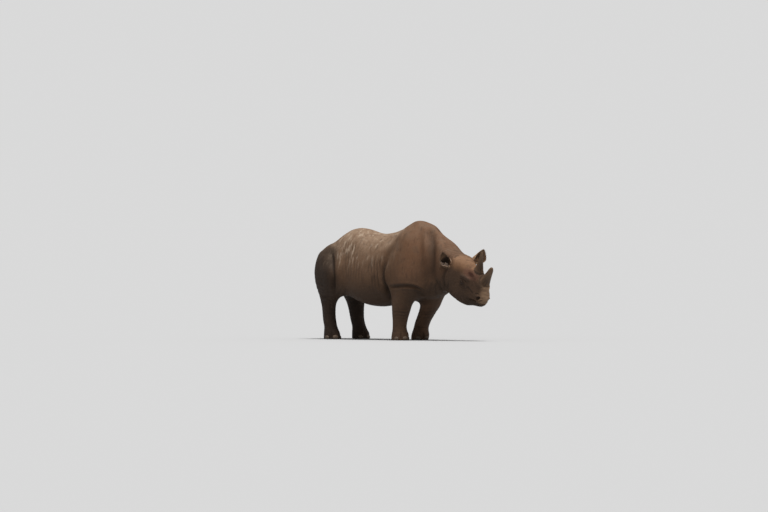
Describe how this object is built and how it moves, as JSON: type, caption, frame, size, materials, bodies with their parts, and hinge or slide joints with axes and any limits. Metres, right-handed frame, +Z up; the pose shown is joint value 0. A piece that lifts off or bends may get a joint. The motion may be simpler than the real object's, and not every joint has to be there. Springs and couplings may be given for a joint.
{
  "type": "rhinoceros",
  "caption": "Life-size black rhinoceros standing with its head lowered and its ears turned two ways, as a still museum model that stands on its flat soles.",
  "frame": {"origin": "on the floor, under the middle of the animal's overall box", "axes": "+X towards the nose, +Y to the animal's left, +Z up"},
  "size_m": [3.2658, 0.8646, 1.6],
  "materials": {
    "hide": "dry matt wrinkled hide",
    "horn": "fibrous keratin, worn smooth at the tip",
    "nail": "dusty keratin",
    "eye": "wet gloss",
    "bristle": "coarse dark bristle"
  },
  "bodies": {
    "root": {"head": "hide", "neck": "hide", "trunk": "hide", "front_right_leg": "hide", "front_left_leg": "hide", "rear_right_leg": "hide", "rear_left_leg": "hide", "right_ear": "hide", "left_ear": "hide", "tail": "hide", "front_horn": "horn", "rear_horn": "horn", "right_eye": "eye", "left_eye": "eye", "tail_brush": "bristle", "front_right_nail_middle": "nail", "front_right_nail_outer": "nail", "front_right_nail_inner": "nail", "front_left_nail_middle": "nail", "front_left_nail_outer": "nail", "front_left_nail_inner": "nail", "rear_right_nail_middle": "nail", "rear_right_nail_outer": "nail", "rear_right_nail_inner": "nail", "rear_left_nail_middle": "nail", "rear_left_nail_outer": "nail", "rear_left_nail_inner": "nail"}
  },
  "joints": []
}
